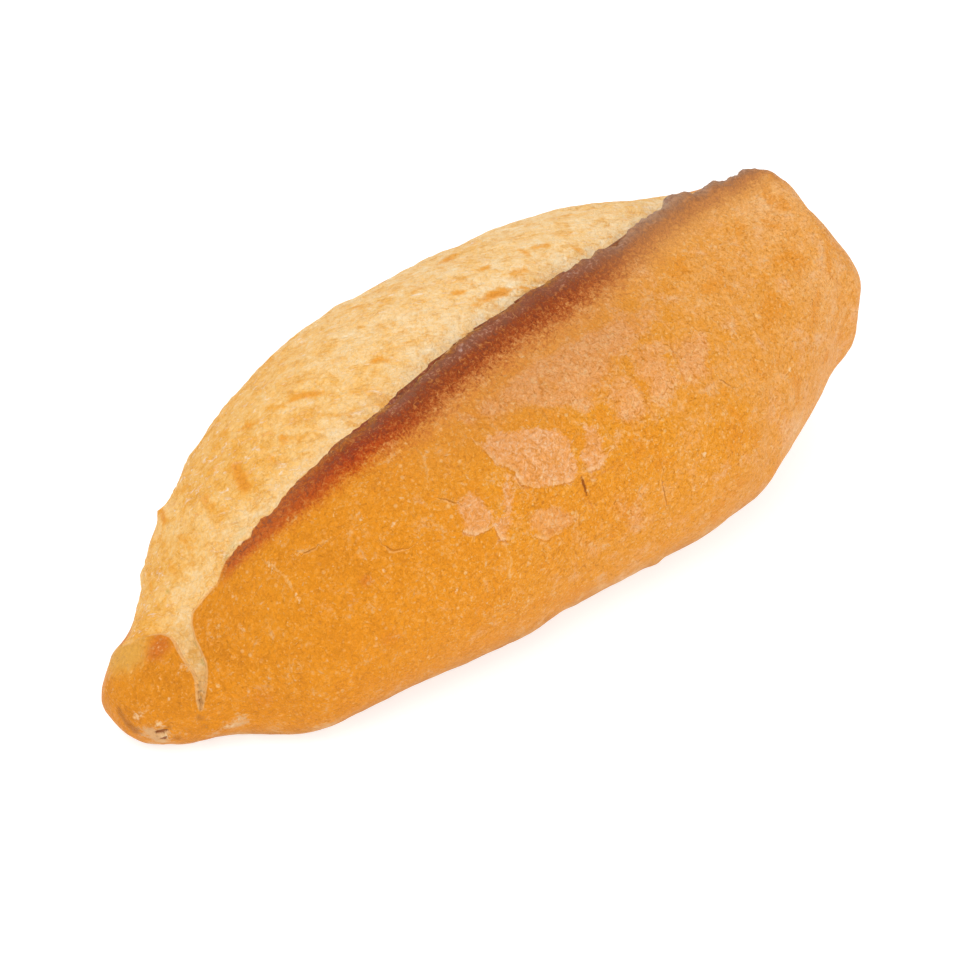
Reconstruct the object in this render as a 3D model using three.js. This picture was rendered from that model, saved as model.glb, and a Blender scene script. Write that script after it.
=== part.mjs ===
// A plump loaf of white bread, baked on the floor of an oven: one solid, lying as it was baked.
// One long cut runs down its top. On the near side, -Y, the crust beside the cut has lifted into a
// thin ear. Behind the ear, towards +Y, the crumb has burst out as a pale swelling. The -X end is
// pinched into a small knob, and the broad +X end turns up off the table.
// Millimetres, +Z up, X along the loaf. The origin is under the middle of the loaf, on the table.
import * as THREE from "three";
import { LoftGeometry } from "three/addons/geometries/LoftGeometry.js";

// ---- Driving dimensions ----
const LENGTH = 280; // from the knob to the broad end
const PRESSED = 1.5; // how far the oven floor flattened the round underside
const SWELLING = 3.2; // how far the burst crumb stands above the round of the loaf
const CRUST_EDGE = 1; // the step down to the crust at the far side of the swelling
const SECTIONS = 96; // cross sections along the loaf

const HALF = LENGTH / 2;

// Down the loaf, a place is a share of half its length: -1 is the knob's tip, 1 the broad end.
// Each profile is a few [place, value] pairs, joined by a smooth curve.

// The round of the loaf, in millimetres: how far it reaches from its spine to the near and the far
// side, and from its waist up and down. The ends close these in like an ellipsoid's.
const NEAR_SIDE = [[-1, 51], [-0.83, 51.5], [-0.64, 68.5], [-0.36, 69], [-0.14, 66.5], [0, 64.5],
  [0.21, 66.5], [0.36, 70], [0.5, 71], [0.68, 65.5], [0.84, 60.5], [0.93, 72], [1, 76]];
const FAR_SIDE = [[-1, 40], [-0.87, 31], [-0.71, 52], [-0.5, 54], [-0.21, 58.5], [0, 58],
  [0.36, 62], [0.6, 59.5], [0.75, 63], [1, 66]];
const CROWN = [[-1, 44], [-0.83, 34], [-0.64, 43], [-0.21, 50], [0.29, 51], [0.57, 56],
  [0.75, 69], [0.87, 87], [0.93, 87.5], [1, 90]];
const KEEL = [[-1, 46], [-0.83, 32], [-0.64, 38], [-0.21, 40], [0.5, 42], [0.79, 36], [1, 36]];
// Where the spine lies across the loaf, and the height of the waist.
const SPINE = [[-1, -14], [-0.71, -8], [-0.29, 0], [0.43, 0], [1, -8]];
const WAIST = [[-1, 15], [-0.79, 20], [-0.43, 34], [0, 38], [0.43, 40], [0.79, 43], [1, 45]];

// The cut: how far its lip lies from the spine, how strongly the ear lifts beside it, how strongly
// the crumb swells behind it, and how far round the loaf the swelling reaches past the lip.
const LIP = [[-1, -7], [-0.78, -9], [-0.61, -12], [-0.45, -17], [-0.3, -18], [-0.14, -13.5],
  [0.21, -7], [0.4, -2], [0.57, 7], [0.75, 14.5], [0.87, 18], [1, 18]];
const EAR = [[-1, 0], [-0.77, 0], [-0.6, 0.4], [-0.21, 0.8], [0.14, 1], [0.86, 1], [0.93, 0],
  [1, 0]];
const BURST = [[-1, 0], [-0.75, 0.4], [-0.43, 0.3], [-0.14, 0.5], [0.14, 0.8], [0.45, 1],
  [0.75, 0], [1, 0]];
const REACH = [[-1, 8], [-0.86, 22], [-0.71, 47], [-0.57, 65], [-0.43, 73], [-0.14, 69],
  [0.14, 66], [0.43, 64], [0.79, 34], [1, 6]];

// The ear in section, where it is strongest: [distance past the lip, height above the round].
// It rises from the crust, rolls over at the lip and tucks back under itself into the cut.
const EAR_SECTION = [
  [-26, 0], [-18, 0.4], [-12, 1.2], [-7.5, 2.3], [-4, 3.4], [-1.5, 4.1], [0.6, 4.1], [1.9, 3.1],
  [1.7, 1.7], [0.5, 0.4], [-0.5, -0.9], [0.2, -2.2], [2.4, -2.6], [5.5, -1.8], [10, -0.8], [15, 0],
];
// The ear is full size until a section closes in to less than this share of the loaf's round.
const FULL_EAR = 0.62;

// Points round a section, apart from the ear's: up the near side, over the swelling, down the far.
const NEAR_POINTS = 12;
const SWELLING_POINTS = 8;
const FAR_POINTS = 12;

// How square the round is above and below the waist (2 is an ellipse), and how it is measured.
const UPPER_SQUARENESS = 2.1;
const LOWER_SQUARENESS = 2.9;
const ROUND_STEPS = 360;
const END_ANGLE = 0.03; // the first section's angle from the tip of the ellipsoid, in radians

// ---- Curves ----

// A smooth curve through [place, value] pairs that never overshoots them (a monotone cubic).
function profile(pairs) {
  const slopes = pairs.slice(1).map(([x, v], i) => (v - pairs[i][1]) / (x - pairs[i][0]));
  const tangents = pairs.map((_, i) => {
    const [before, after] = [slopes[i - 1], slopes[i]];
    return before * after > 0 ? (2 * before * after) / (before + after) : 0;
  });
  return (place) => {
    const i = Math.max(0, pairs.findIndex(([end]) => end >= place) - 1);
    const [start, value] = pairs[i];
    const [end, next] = pairs[i + 1];
    const width = end - start;
    const t = (place - start) / width;
    const rise = next - value;
    const [a, b] = [tangents[i] * width, tangents[i + 1] * width];
    return value + t * (a + t * (3 * rise - 2 * a - b + t * (a + b - 2 * rise)));
  };
}

const nearSide = profile(NEAR_SIDE);
const farSide = profile(FAR_SIDE);
const crown = profile(CROWN);
const keel = profile(KEEL);
const spine = profile(SPINE);
const waist = profile(WAIST);
const lip = profile(LIP);
const ear = profile(EAR);
const burst = profile(BURST);
const reach = profile(REACH);

// ---- One cross section ----

// The plain round of a section, as points (across the loaf, up) that start under it and go round
// by the near side, and the length run to each point. Closing is 1 in mid-loaf and 0 at a tip.
function roundOf(place, closing) {
  const points = [];
  const run = [];
  for (let i = 0; i <= ROUND_STEPS; i++) {
    const angle = (2 * Math.PI * i) / ROUND_STEPS;
    const across = -Math.sin(angle);
    const up = -Math.cos(angle);
    const squareness = up > 0 ? UPPER_SQUARENESS : LOWER_SQUARENESS;
    const squared = (share) => Math.sign(share) * Math.abs(share) ** (2 / squareness);
    const side = across < 0 ? nearSide(place) : farSide(place);
    const height = up > 0 ? crown(place) : keel(place);
    const point = new THREE.Vector2(
      spine(place) + side * closing * squared(across),
      waist(place) + height * closing * squared(up) - PRESSED,
    );
    run.push(i ? run[i - 1] + point.distanceTo(points[i - 1]) : 0);
    points.push(point);
  }
  return { points, run, whole: run[ROUND_STEPS] };
}

// The length run to where a round's upper side reaches a distance across the loaf.
function runTo({ points, run }, across) {
  const i = points.findIndex((point, step) => step > ROUND_STEPS / 4 && point.x >= across);
  const t = (across - points[i - 1].x) / (points[i].x - points[i - 1].x);
  return THREE.MathUtils.lerp(run[i - 1], run[i], t);
}

// The point of a round at a length run.
function pointAt({ points, run, whole }, length) {
  const wanted = THREE.MathUtils.euclideanModulo(length, whole);
  const i = Math.max(1, run.findIndex((end) => end >= wanted));
  return points[i - 1].clone().lerp(points[i], (wanted - run[i - 1]) / (run[i] - run[i - 1]));
}

// The point that stands a height out from a round, at a length run.
function pointAbove(round, length, height) {
  const step = (2 * round.whole) / ROUND_STEPS;
  const along = pointAt(round, length + step).sub(pointAt(round, length - step)).normalize();
  const out = new THREE.Vector2(-along.y, along.x);
  return pointAt(round, length).addScaledVector(out, height);
}

// One section of the finished loaf: up the near side, over the ear and the swelling, and down the
// far side to where it began. What would lie under the table is pressed flat onto it.
function section(place, closing) {
  const round = roundOf(place, closing);
  const lipRun = runTo(round, spine(place) + lip(place) * closing);
  const size = Math.min(1, closing / FULL_EAR);

  // Where there is no ear, its points lie spread out flat, so that the surface never folds.
  const [first, last] = [EAR_SECTION[0][0], EAR_SECTION.at(-1)[0]];
  const earPoints = EAR_SECTION.map(([past, height], i) => {
    const flat = THREE.MathUtils.lerp(first, last, i / (EAR_SECTION.length - 1));
    return {
      length: lipRun + THREE.MathUtils.lerp(flat, past, ear(place)) * size,
      height: height * ear(place) * size,
    };
  });
  const earStart = earPoints[0].length;
  const earEnd = earPoints.at(-1).length;
  const swellRun = Math.min(reach(place), (round.whole - lipRun) / 2);
  const swellEnd = Math.max(lipRun + swellRun, earEnd + size);

  // How far the swelling lifts the surface: most in its middle, with a step down at its far edge.
  const swellAt = (length) => {
    const t = THREE.MathUtils.clamp((length - lipRun) / (swellEnd - lipRun), 0, 1);
    const dome = Math.sin(Math.PI * t) ** 0.8;
    const edge = t < 1 ? CRUST_EDGE * t : 0;
    return burst(place) * size * (SWELLING * dome + edge);
  };
  const spread = (from, to, count) => Array.from({ length: count }, (_, i) => (
    { length: THREE.MathUtils.lerp(from, to, i / count), height: 0 }
  ));
  const points = [
    ...spread(0, earStart, NEAR_POINTS),
    ...earPoints,
    ...spread(earEnd, swellEnd, SWELLING_POINTS).slice(1),
    ...spread(swellEnd, round.whole, FAR_POINTS),
  ];
  return points.map(({ length, height }) => {
    const point = pointAbove(round, length, height + swellAt(length));
    return new THREE.Vector3(place * HALF, point.x, Math.max(0, point.y));
  });
}

// ---- The loaf ----

function loafGeometry() {
  const sections = [];
  for (let i = 0; i < SECTIONS; i++) {
    const angle = THREE.MathUtils.lerp(END_ANGLE, Math.PI - END_ANGLE, i / (SECTIONS - 1));
    sections.push(section(Math.cos(angle), Math.sin(angle)));
  }
  const geometry = new LoftGeometry(sections, { capStart: true, capEnd: true });
  geometry.computeBoundingBox();
  const { min, max } = geometry.boundingBox;
  return geometry.translate(0, -(min.y + max.y) / 2, 0);
}

const crust = new THREE.MeshStandardMaterial({ color: "#d98a2e", roughness: 0.62, metalness: 0 });

const loaf = new THREE.Mesh(loafGeometry(), crust);
loaf.name = "loaf";

const bread = new THREE.Group();
bread.add(loaf);

export default bread;
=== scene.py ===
# %% [markdown]
# # A loaf of Turkish bread
# The loaf is one piece: a plump oval of white bread with a golden crust. A long cut along its top
# has opened in the oven. On the near side the crust beside the cut lifted into a thin, dark ear,
# and behind the ear the pale crumb swelled out. One end is pinched into a small knob.
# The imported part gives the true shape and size. This script gives it its skin.

# %% The part, as it was packed
import math

import bpy
import numpy as np
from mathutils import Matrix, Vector, noise


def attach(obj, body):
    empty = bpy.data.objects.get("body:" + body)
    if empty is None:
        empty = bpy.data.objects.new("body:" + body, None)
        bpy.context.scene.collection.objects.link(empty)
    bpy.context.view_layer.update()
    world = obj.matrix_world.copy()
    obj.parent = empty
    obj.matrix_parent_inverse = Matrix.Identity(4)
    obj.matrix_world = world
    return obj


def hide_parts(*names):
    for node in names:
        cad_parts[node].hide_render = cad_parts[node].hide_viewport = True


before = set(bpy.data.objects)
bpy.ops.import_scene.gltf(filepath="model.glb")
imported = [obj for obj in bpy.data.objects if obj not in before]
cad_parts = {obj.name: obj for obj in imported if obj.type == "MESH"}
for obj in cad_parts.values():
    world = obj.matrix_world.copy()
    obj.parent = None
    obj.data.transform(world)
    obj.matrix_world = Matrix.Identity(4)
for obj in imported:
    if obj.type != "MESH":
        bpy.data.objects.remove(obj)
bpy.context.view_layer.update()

MM = 0.001
TINY = 1e-9

# %% [markdown]
# ## Where it is seen from
# The camera stands where the photo was taken from: to the front and left of the loaf, looking
# down on it. Its distance and lens were found by laying the part's outline over the photo.

# %% The camera
PHOTO_SIDE = 959  # pixels
AZIMUTH = math.radians(-36)
ELEVATION = math.radians(40)
# How far the camera is from what it aims at, and where that is, in metres.
DISTANCE = 0.768
AIM = Vector((-0.0003, -0.0015, 0.024))
# The lens and the width of the picture behind it, in millimetres.
LENS = 92
SENSOR = 36

towards_camera = Vector((
    math.sin(AZIMUTH) * math.cos(ELEVATION),
    -math.cos(AZIMUTH) * math.cos(ELEVATION),
    math.sin(ELEVATION),
))
bpy.ops.object.camera_add(
    location=AIM + DISTANCE * towards_camera,
    rotation=towards_camera.to_track_quat("Z", "Y").to_euler(),
)
camera = bpy.context.object
camera.data.lens = LENS
camera.data.sensor_width = SENSOR
bpy.context.scene.camera = camera
bpy.context.view_layer.update()
print("camera at", tuple(round(v, 3) for v in camera.location))

# %% [markdown]
# ## Helpers
# A few small tools that every step below uses.

# %% Small helpers
def linear(hex_colour):
    """An sRGB hex colour as Blender's linear colour."""
    shares = [int(hex_colour[i:i + 2], 16) / 255 for i in (1, 3, 5)]
    return tuple(
        s / 12.92 if s <= 0.04045 else ((s + 0.055) / 1.055) ** 2.4 for s in shares
    ) + (1.0,)


def add(tree, kind, feeds=None, **settings):
    """Adds a node. A feed is a value, a node, whose first output is used, or a node's output."""
    made = tree.nodes.new(kind)
    for name, value in settings.items():
        setattr(made, name, value)
    for name, value in (feeds or {}).items():
        socket = next(s for s in made.inputs if s.enabled and name in (s.identifier, s.name))
        if isinstance(value, bpy.types.Node):
            value = next(s for s in value.outputs if s.enabled)
        if isinstance(value, bpy.types.NodeSocket):
            tree.links.new(value, socket)
        else:
            socket.default_value = value
    return made


def select_only(thing):
    """Makes one object the selected and the active one."""
    bpy.ops.object.select_all(action="DESELECT")
    thing.select_set(True)
    bpy.context.view_layer.objects.active = thing


def edit(thing, kind="VERT", chosen=None):
    """Goes into edit mode with the chosen points or edges selected, or with everything."""
    select_only(thing)
    bpy.ops.object.mode_set(mode="EDIT")
    bpy.ops.mesh.select_mode(type=kind)
    bpy.ops.mesh.select_all(action="SELECT" if chosen is None else "DESELECT")
    if chosen is not None:
        bpy.ops.object.mode_set(mode="OBJECT")
        parts = thing.data.vertices if kind == "VERT" else thing.data.edges
        parts.foreach_set("select", chosen)
        bpy.ops.object.mode_set(mode="EDIT")


def places_of(thing):
    """Where a mesh's points are, in millimetres."""
    flat = np.zeros(len(thing.data.vertices) * 3)
    thing.data.vertices.foreach_get("co", flat)
    return flat.reshape(-1, 3) / MM


def eased(values, low, high):
    """0 below low, 1 above high, and a soft step between them."""
    share = np.clip((values - low) / (high - low), 0, 1)
    return share * share * (3 - 2 * share)


def fading(gap, reach):
    """1 where a gap is 0, then ever less: about a third at the reach, almost 0 at twice that."""
    return np.exp(-((gap / reach) ** 2))


print("mid grey, as Blender counts it:", round(linear("#808080")[0], 3))

# %% [markdown]
# ## Light and floor
# The photo has soft light from all round, so a bright room does most of the work. Three large
# softboxes, above on the left, lower on the right and behind, keep a little shape in the loaf.

# %% Room, softboxes and floor
ROOM_LIGHT = 0.55
FLOOR_SIZE = 8
SOFTBOX_SIDE = 1.2
# Each softbox: where it stands, in metres, and its watts.
SOFTBOXES = {
    "key_softbox": ((-0.7, -0.5, 1.3), 13),
    "fill_softbox": ((0.9, -1.1, 0.7), 6.8),
    "back_softbox": ((0.1, 1.3, 1.0), 7.5),
}
PAPER_GREY, PAPER_ROUGHNESS, PAPER_SHINE = "#c4c4c4", 0.9, 0.1
# The paper glows, like a backdrop with a light of its own, so that the loaf's shadow is faint.
PAPER_GLOW = 0.66

room = bpy.data.worlds.new("room")
bpy.context.scene.world = room
room.use_nodes = True
room.node_tree.nodes["Background"].inputs["Color"].default_value = (1, 1, 1, 1)
room.node_tree.nodes["Background"].inputs["Strength"].default_value = ROOM_LIGHT

for name, (stand, watts) in SOFTBOXES.items():
    place = Vector(stand)
    bpy.ops.object.light_add(
        type="AREA", location=place, rotation=place.to_track_quat("Z", "Y").to_euler()
    )
    lamp = bpy.context.object
    lamp.name = name
    lamp.data.shape = "SQUARE"
    lamp.data.size = SOFTBOX_SIDE
    lamp.data.energy = watts

bpy.ops.mesh.primitive_plane_add(size=FLOOR_SIZE, location=(0, 0, 0))
floor = bpy.context.object
floor.name = "floor"

white = bpy.data.materials.new("matt_white_paper")
white.use_nodes = True
paper = white.node_tree.nodes["Principled BSDF"]
paper.inputs["Base Color"].default_value = linear(PAPER_GREY)
paper.inputs["Roughness"].default_value = PAPER_ROUGHNESS
paper.inputs["Specular IOR Level"].default_value = PAPER_SHINE
paper.inputs["Emission Color"].default_value = (1, 1, 1, 1)
paper.inputs["Emission Strength"].default_value = PAPER_GLOW
floor.data.materials.append(white)
bpy.context.scene.view_settings.view_transform = "Standard"
print("lights:", ", ".join(SOFTBOXES), "and the room")

# %% [markdown]
# ## The loaf's body
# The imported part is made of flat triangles. A copy of it is merged and turned back into a net of
# four-sided faces, which Subdivision Surface rounds. Flakes and wrinkles need a net of about a
# millimetre, so the faces that stay long are cut in two in between.

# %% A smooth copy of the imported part
# The loaf's middle line: [place along it, how far across, how high], in millimetres.
AXIS = np.array([
    [-140, -12.8, 15], [-110, -8, 20], [-60, 0, 34], [0, 1.2, 38], [60, 1.2, 40],
    [110, -3, 43], [140, -6.8, 45],
])
# Points nearer to each other than this are one point, in millimetres.
SAME_POINT = 0.01

crust = bpy.data.objects.new("loaf_crust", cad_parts["loaf"].data.copy())
bpy.context.scene.collection.objects.link(crust)
crust.data.materials.clear()
edit(crust)
bpy.ops.mesh.customdata_custom_splitnormals_clear()
bpy.ops.mesh.remove_doubles(threshold=SAME_POINT * MM)
bpy.ops.mesh.tris_convert_to_quads(face_threshold=math.pi, shape_threshold=math.pi)
bpy.ops.object.mode_set(mode="OBJECT")
print("merged:", len(crust.data.vertices), "points,", len(crust.data.polygons), "faces,",
      sum(len(p.vertices) == 3 for p in crust.data.polygons), "of them triangles")

# %% [markdown]
# The part ends in two small flat caps. Each is drawn together to one point, a pole, so that the
# ends round off. A seam from pole to pole under the loaf lets it be unrolled like the skin of a
# sausage. That gives the map through which its colours are later baked for other programs.

# %% Poles, seam and unrolled map
# How much points of one flat cap may differ along the loaf, in millimetres.
END_TOLERANCE = 0.05
UNWRAP_ROUNDS, MAP_MARGIN = 20, 0.005

for end in (-1, 1):
    spots = places_of(crust)
    tip = (end * spots[:, 0]).max()
    edit(crust, "VERT", end * spots[:, 0] > tip - END_TOLERANCE)
    bpy.ops.mesh.merge(type="CENTER")
    bpy.ops.object.mode_set(mode="OBJECT")


def axis_at(places):
    """Where the loaf's middle line is, across and up, beside each place along it."""
    return [np.interp(places[:, 0], AXIS[:, 0], AXIS[:, way]) for way in (1, 2)]


def turn_of(places):
    """How far round the loaf each place is: 0 degrees is the near side, 90 the top."""
    across, up = axis_at(places)
    return np.degrees(np.arctan2(places[:, 2] - up, across - places[:, 1]))


def seam_below(thing):
    """The edges of the straightest way from one pole to the other under the loaf."""
    spots = places_of(thing)
    off_bottom = np.abs((turn_of(spots) + 270) % 360 - 180)
    ends = [tuple(edge.vertices) for edge in thing.data.edges]
    beside = {}
    for number, (a, b) in enumerate(ends):
        beside.setdefault(a, []).append((b, number))
        beside.setdefault(b, []).append((a, number))
    here, goal = int(spots[:, 0].argmin()), int(spots[:, 0].argmax())
    way = []
    while here != goal:
        ahead = [(b, n) for b, n in beside[here] if spots[b, 0] > spots[here, 0] + END_TOLERANCE]
        if goal in [b for b, _ in ahead]:
            ahead = [(b, n) for b, n in ahead if b == goal]
        here, number = min(ahead, key=lambda step: off_bottom[step[0]])
        way.append(number)
    return way


seam = seam_below(crust)
for number in seam:
    crust.data.edges[number].use_seam = True
while crust.data.uv_layers:
    crust.data.uv_layers.remove(crust.data.uv_layers[0])
crust.data.uv_layers.new(name="OFBake")
edit(crust)
bpy.ops.uv.unwrap(method="MINIMUM_STRETCH", iterations=UNWRAP_ROUNDS, margin=MAP_MARGIN)
bpy.ops.object.mode_set(mode="OBJECT")
corners = np.zeros(len(crust.data.loops) * 2)
crust.data.uv_layers["OFBake"].uv.foreach_get("vector", corners)
print("seam of", len(seam), "edges; the map reaches to", corners.reshape(-1, 2).max(0).round(3))


# %% [markdown]
# Subdivision Surface rounds the net twice. Between the two rounds, edges that run across the loaf
# and are still long are cut in two, apart from those underneath, which nobody looks at closely.

# %% Subdivided
# In millimetres: the longest edge left uncut, and the height below which none are cut.
LONGEST_EDGE = 3.0
UNDERSIDE = 8.0
# An edge runs across the loaf if it goes less than this share of its length along it.
ACROSS_SHARE = 0.5


def apply_modifier(thing, modifier):
    """Applies a modifier, as the button in its menu does."""
    select_only(thing)
    bpy.ops.object.modifier_apply(modifier=modifier.name)


def subdivide(thing):
    """Rounds a net once with Subdivision Surface."""
    rounding = thing.modifiers.new("rounding", "SUBSURF")
    rounding.levels = 1
    rounding.render_levels = 1
    apply_modifier(thing, rounding)


subdivide(crust)
spots = places_of(crust)
ends = np.zeros(len(crust.data.edges) * 2, int)
crust.data.edges.foreach_get("vertices", ends)
starts, stops = spots[ends[0::2]], spots[ends[1::2]]
lengths = np.linalg.norm(stops - starts, axis=1)
across_ones = np.abs(stops - starts)[:, 0] < ACROSS_SHARE * lengths
above = (starts + stops)[:, 2] / 2 > UNDERSIDE
edit(crust, "EDGE", (lengths > LONGEST_EDGE) & across_ones & above)
bpy.ops.mesh.subdivide(number_cuts=1)
bpy.ops.object.mode_set(mode="OBJECT")
subdivide(crust)
bpy.ops.object.shade_smooth()
print("net of", len(crust.data.vertices), "points and", len(crust.data.polygons), "faces,",
      sum(len(p.vertices) - 2 for p in crust.data.polygons), "triangles")


# %% [markdown]
# ## Where things lie on the loaf
# Flakes, cracks and spots are drawn as outlines in the photo's pixels. A ray from the camera
# through each pixel finds the place on the loaf, so each mark lies on the crust from any side.

# %% From the photo to the loaf and back
FRAME_SPREAD = SENSOR / LENS / PHOTO_SIDE
to_world = camera.matrix_world.copy()


def on_loaf(pixel):
    """The place on the loaf behind a pixel, in millimetres."""
    across = (pixel[0] - PHOTO_SIDE / 2) * FRAME_SPREAD
    down = (pixel[1] - PHOTO_SIDE / 2) * FRAME_SPREAD
    way = (to_world.to_3x3() @ Vector((across, -down, -1))).normalized()
    found, place, _, _ = crust.ray_cast(to_world.translation, way)
    if not found:
        middle = to_world.translation + DISTANCE * way
        _, place, _, _ = crust.closest_point_on_mesh(middle)
    return np.array(place) / MM


def in_photo(places):
    """The pixels at which places on the loaf are seen."""
    turned = np.array(to_world.inverted().to_3x3())
    seen = (places * MM - np.array(to_world.translation)) @ turned.T
    x = PHOTO_SIDE / 2 + seen[:, 0] / -seen[:, 2] / FRAME_SPREAD
    y = PHOTO_SIDE / 2 - seen[:, 1] / -seen[:, 2] / FRAME_SPREAD
    return np.stack([x, y], axis=1)


photo_middle = (PHOTO_SIDE / 2, PHOTO_SIDE / 2)
print("the photo's middle lies on the loaf at", on_loaf(photo_middle).round(1), "mm")

# %% [markdown]
# ## The cut and the burst crumb
# The cut's lip is where golden crust meets pale crumb. Along the ear it follows the ridge of the
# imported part. At the knob it turns down round the neck, where the skin tore. On the far side,
# which the photo only shows edge on, the crumb ends against the lower crust of the loaf.

# %% Edges of the crumb, as tables
# The ear's ridge: [along, across, up], in millimetres.
EAR_RIDGE = np.array([
    [-98, -13.5, 51], [-86, -15, 60.5], [-63, -15.7, 74.5], [-42, -14.7, 82], [-20, -9.9, 87],
    [2, -5.9, 90], [25, -2.5, 90.5], [47, 1.4, 90], [67, 7, 89.5], [86, 10.8, 88.5],
    [103, 10.8, 88.5], [117, 9, 88.5], [128, -0.4, 78.5], [132, -1.5, 73],
])
# Where the skin tore round the neck of the knob: down the flank's side, then up the knob's.
TEAR_BY_FLANK = [
    (236, 545), (229, 557), (223, 566), (218, 582), (202, 598), (191, 612), (190, 624),
    (194, 639), (200, 652), (205, 663), (206, 672), (205, 685), (203, 697), (201, 708),
]
TEAR_BY_KNOB = [
    (200, 707), (198, 695), (197, 680), (194, 672), (188, 664), (184, 658), (179, 650),
    (175, 641), (171, 636), (162, 633), (152, 634), (143, 637), (133, 641), (124, 645),
]
# The two tears close round the crumb by way of these pixels, outside the loaf's outline.
BEYOND_OUTLINE = [(100, 640), (130, 540), (150, 480), (240, 480)]
# The crumb's far edge: [along in millimetres, degrees round the loaf].
FAR_EDGE = np.array([
    [-128, 142], [-118, 166], [-107, 171], [-97, 167], [-80, 161], [-50, 157], [-20, 148],
    [10, 143], [45, 146], [70, 150], [86, 143], [103, 130], [118, 112], [124, 104],
])
# Its corners are rounded by averaging it over these steps along the loaf, in millimetres.
ROUNDING = (-8, -4, 0, 4, 8)
# It is torn, so it strays from that line: how far, in degrees, and over what length in mm.
STRAY, STRAY_LENGTH = 9, 16
# Finer strays lie on top: how weak they are, how much finer each is, and how many there are.
STRAY_FADE, STRAY_FINER, STRAY_LAYERS = 0.8, 2, 3
# How far the ear hangs over the crumb behind its ridge: [along, overhang], in millimetres.
OVERHANG = np.array([[-100, 0], [-84, 0.3], [-63, 1.2], [-30, 2.4], [20, 3], [120, 3], [130, 0]])
print("the ear's ridge runs", np.ptp(EAR_RIDGE[:, 0]), "mm along the loaf")

# %% Lines on the loaf
STEP = 5  # pixels between the places of a line that is laid on the loaf
OUTSIDE = 200  # millimetres from the loaf's middle line to a point well outside it


def inside(outline, spots):
    """Whether a line from each spot to the right crosses an odd number of an outline's sides."""
    within = np.zeros(len(spots), bool)
    for (x0, y0), (x1, y1) in zip(outline, outline[1:] + outline[:1]):
        level = (y0 > spots[:, 1]) != (y1 > spots[:, 1])
        meets = x0 + (spots[:, 1] - y0) * (x1 - x0) / ((y1 - y0) or TINY)
        within ^= level & (spots[:, 0] < meets)
    return within


def traced(pixels):
    """A line through pixels, laid on the loaf in short steps."""
    places = [on_loaf(pixels[0])]
    for start, stop in zip(np.array(pixels[:-1], float), np.array(pixels[1:], float)):
        steps = max(1, round(np.linalg.norm(stop - start) / STEP))
        places += [on_loaf(start + (stop - start) * (i + 1) / steps) for i in range(steps)]
    return np.array(places)


def distance_to(line, places):
    """How far each place is from a line, in millimetres."""
    nearest = np.full(len(places), np.inf)
    for start, stop in zip(line[:-1], line[1:]):
        way = stop - start
        share = np.clip((places - start) @ way / max(way @ way, TINY), 0, 1)
        gap = np.linalg.norm(places - start - share[:, None] * way, axis=1)
        nearest = np.minimum(nearest, gap)
    return nearest


def far_edge(along):
    """How many degrees round the loaf the crumb's far edge is, at each length along it."""
    near_by = [np.interp(along + step, *FAR_EDGE.T) for step in ROUNDING]
    strays = [
        noise.fractal(Vector((x / STRAY_LENGTH, 0, 0)), STRAY_FADE, STRAY_FINER, STRAY_LAYERS)
        for x in along
    ]
    return np.mean(near_by, axis=0) + STRAY * np.array(strays)


def on_far_side(along, turn):
    """The place on the loaf at a length along it and degrees round it."""
    across, up = axis_at(np.array([[along, 0, 0]]))
    middle = Vector((along, across[0], up[0]))
    way = Vector((0, -math.cos(math.radians(turn)), math.sin(math.radians(turn))))
    _, place, _, _ = crust.ray_cast((middle + OUTSIDE * way) * MM, -way)
    return np.array(place) / MM


# The crumb's far edge as a line on the loaf: where it starts and ends, and its steps, in mm.
FAR_START, FAR_STOP, FAR_STEP = -126, 134, 2.0

ear_line = np.concatenate([traced(TEAR_BY_FLANK)[::-1], EAR_RIDGE])
knob_line = traced(TEAR_BY_KNOB)
far_along = np.arange(FAR_START, FAR_STOP, FAR_STEP)
far_line = np.array([on_far_side(x, turn) for x, turn in zip(far_along, far_edge(far_along))])
print("places on the lines:", len(ear_line), len(knob_line), len(far_line))

# %% [markdown]
# A point of the net is crumb if it lies past the ear's ridge and the edge that hangs over it, and
# short of the far edge. At the knob, it is crumb if the photo shows it inside the tear.

# %% Which points are crumb
KNOB_END = -98  # where the knob's tear meets the ear, in millimetres along the loaf
NECK_BEHIND = -124  # where the crumb ends behind the knob

spots = places_of(crust)
seen_at = in_photo(spots)
turns = turn_of(spots) % 360
normals = np.zeros(len(spots) * 3)
crust.data.vertices.foreach_get("normal", normals)
normals = normals.reshape(-1, 3)
sight = np.array(camera.location) / MM - spots
# Facing is above 0 where a point is turned towards the camera.
facing = (normals * sight).sum(axis=1) / np.linalg.norm(sight, axis=1)

across, up = axis_at(spots)
from_axis = np.hypot(spots[:, 1] - across, spots[:, 2] - up)
overhang = np.degrees(np.interp(spots[:, 0], *OVERHANG.T) / from_axis)
ridge_turn = np.interp(spots[:, 0], EAR_RIDGE[:, 0], turn_of(EAR_RIDGE)) + overhang
past_ridge = (turns > ridge_turn) & (spots[:, 0] > NECK_BEHIND)
at_knob = (spots[:, 0] < KNOB_END) & (facing > 0)
in_tear = inside(TEAR_BY_FLANK + TEAR_BY_KNOB + BEYOND_OUTLINE, seen_at)
in_crumb = np.where(at_knob, in_tear, past_ridge)
in_crumb &= (turns < far_edge(spots[:, 0])) & (spots[:, 0] < FAR_EDGE[-1, 0])
side = np.where(in_crumb, 1, -1)

from_ear = distance_to(ear_line, spots)
from_tear = distance_to(knob_line, spots)
from_far = distance_to(far_line, spots)
crumb_depth = np.minimum(np.minimum(from_ear, from_far), from_tear) * side
print("crumb covers", round(in_crumb.mean() * 100), "% of the net's points")

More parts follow.
